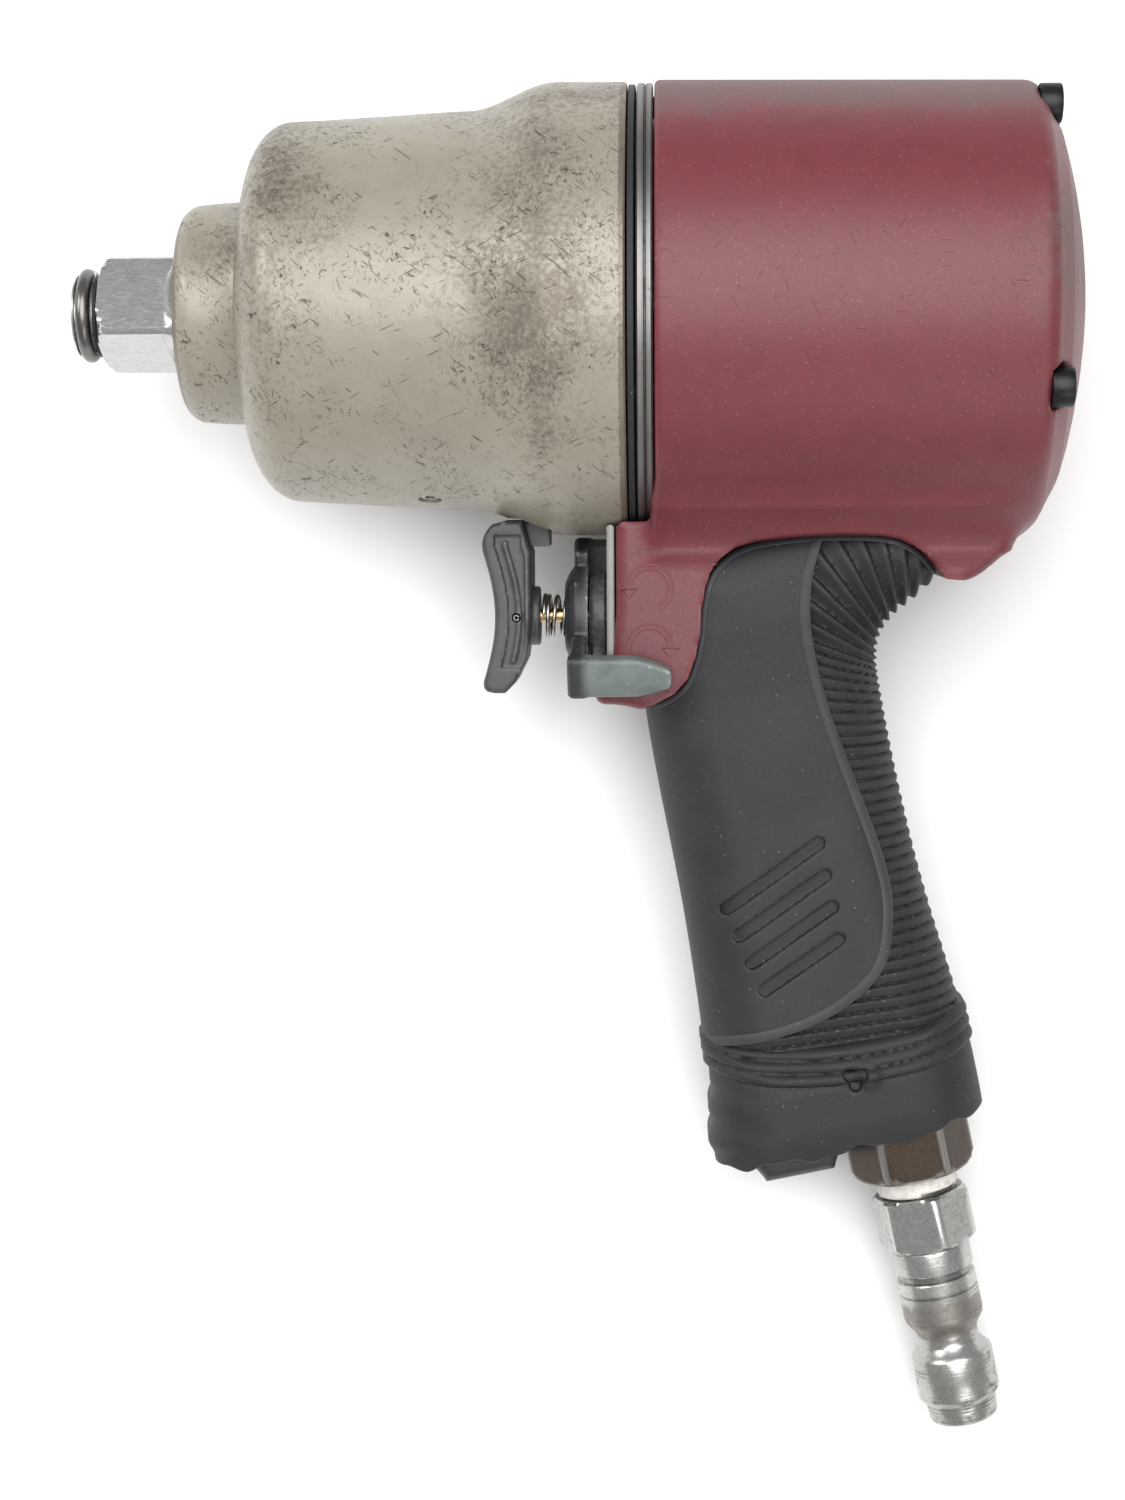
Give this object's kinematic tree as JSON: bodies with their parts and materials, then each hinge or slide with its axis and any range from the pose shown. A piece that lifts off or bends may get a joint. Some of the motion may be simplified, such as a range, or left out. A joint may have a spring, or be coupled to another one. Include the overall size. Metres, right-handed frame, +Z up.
{
  "type": "impact wrench",
  "caption": "Pneumatic pistol-grip impact wrench with a square drive, twin-hammer case, vane motor housing, rubber grip, trigger, reverse lever and hose plug.",
  "frame": {"origin": "middle of the footprint, on the surface that the tool lies on", "axes": "+X along the barrel from the drive to the rear, +Y from the handle's end towards the barrel, +Z up, out of the flank that faces up"},
  "size_m": [0.216, 0.2918, 0.0968],
  "materials": {
    "case_paint": "matt warm grey paint over cast aluminium, worn through in patches",
    "red_composite": "dusky red moulded composite, scuffed grey",
    "black_rubber": "fine-grained black rubber",
    "black_plastic": "black moulded plastic",
    "charcoal_plastic": "dark grey moulded plastic, chipped edges",
    "bright_steel": "ground bright steel",
    "steel": "machined steel",
    "dark_steel": "heat-treated dark steel",
    "black_oxide_steel": "black oxide steel",
    "brown_steel": "oily dark brown steel",
    "zinc_plate": "worn zinc plate",
    "aluminium": "machined aluminium",
    "sintered_bronze": "oil-filled sintered bronze",
    "brass": "bright brass",
    "phenolic": "brown phenolic laminate",
    "felt": "grey felt"
  },
  "bodies": {
    "body": {"hammer_case": "case_paint", "anvil_seal": "black_rubber", "nose_bushing": "sintered_bronze", "thrust_washer": "steel", "case_gasket": "black_rubber", "grease_screw": "steel", "front_end_plate": "aluminium", "front_bearing_outer_race": "bright_steel", "cylinder_liner": "dark_steel", "rear_end_plate": "aluminium", "rear_bearing_outer_race": "bright_steel", "motor_dowel": "steel", "motor_housing": "red_composite", "exhaust_muffler": "felt", "housing_bolt_1": "black_oxide_steel", "housing_bolt_2": "black_oxide_steel", "housing_bolt_3": "black_oxide_steel", "housing_bolt_4": "black_oxide_steel", "grip_panel": "black_rubber", "grip_backstrap": "black_rubber", "handle_boot": "black_rubber", "exhaust_deflector": "black_plastic", "inlet_bushing": "brown_steel", "inlet_screen": "sintered_bronze", "air_plug": "zinc_plate", "trigger_spring": "steel", "valve_plate": "zinc_plate", "valve_bushing": "black_plastic", "throttle_seat": "black_rubber", "throttle_spring": "steel"},
    "rotor_body": {"rotor": "steel", "vane_1": "phenolic", "vane_2": "phenolic", "vane_3": "phenolic", "vane_4": "phenolic", "vane_5": "phenolic", "vane_6": "phenolic", "front_bearing_inner_race": "bright_steel", "rear_bearing_inner_race": "bright_steel", "hammer_cage": "dark_steel", "hammer_pin_1": "steel", "hammer_pin_2": "steel"},
    "front_balls": {"front_bearing_balls": "steel"},
    "rear_balls": {"rear_bearing_balls": "steel"},
    "front_hammer": {"hammer_front": "steel"},
    "rear_hammer": {"hammer_rear": "steel"},
    "anvil_body": {"anvil": "bright_steel", "socket_ring": "dark_steel", "ring_o_ring": "black_rubber"},
    "trigger_body": {"trigger": "charcoal_plastic", "trigger_rod": "brass", "trigger_roll_pin": "steel"},
    "reverse_body": {"reverse_lever": "charcoal_plastic", "reverse_valve": "brass"},
    "throttle_body": {"throttle_valve": "brass"}
  },
  "joints": [
    {"name": "rotor_spin", "type": "hinge", "parent": "body", "child": "rotor_body", "pos_m": [0.01485, 0.0975, 0.0484], "axis": [1, 0, 0], "continuous": true},
    {"name": "anvil_spin", "type": "hinge", "parent": "body", "child": "anvil_body", "pos_m": [0.01485, 0.0975, 0.0484], "axis": [1, 0, 0], "continuous": true},
    {"name": "front_balls_roll", "type": "hinge", "parent": "body", "child": "front_balls", "pos_m": [0.01485, 0.0975, 0.0484], "axis": [1, 0, 0], "continuous": true},
    {"name": "rear_balls_roll", "type": "hinge", "parent": "body", "child": "rear_balls", "pos_m": [0.01485, 0.0975, 0.0484], "axis": [1, 0, 0], "continuous": true},
    {"name": "front_hammer_rock", "type": "hinge", "parent": "rotor_body", "child": "front_hammer", "pos_m": [0.01485, 0.1242, 0.05239], "axis": [1, 0, 0], "range_deg": [-3, 3]},
    {"name": "rear_hammer_rock", "type": "hinge", "parent": "rotor_body", "child": "rear_hammer", "pos_m": [0.01485, 0.0708, 0.04441], "axis": [1, 0, 0], "range_deg": [-3, 3]},
    {"name": "trigger_pull", "type": "slide", "parent": "body", "child": "trigger_body", "axis": [1, 0, 0], "range_m": [0, 0.004], "stiffness_N_per_m": 2500, "springref_m": -0.002, "deforming": ["trigger_spring"]},
    {"name": "reverse_turn", "type": "hinge", "parent": "body", "child": "reverse_body", "pos_m": [0.01485, 0.03272, 0.03872], "axis": [-1, 0, 0], "range_deg": [0, 50]},
    {"name": "throttle_tilt", "type": "hinge", "parent": "body", "child": "throttle_body", "pos_m": [0.04738, 0.00706, 0.03488], "axis": [0, 0.1478, -0.989], "range_deg": [0, 9]}
  ],
  "couplings": [
    {"joint": "anvil_spin", "follows": "rotor_spin", "ratio": 1},
    {"joint": "front_balls_roll", "follows": "rotor_spin", "ratio": 0.4},
    {"joint": "rear_balls_roll", "follows": "rotor_spin", "ratio": 0.4},
    {"joint": "throttle_tilt", "follows": "trigger_pull", "rad_per_m": 39}
  ]
}
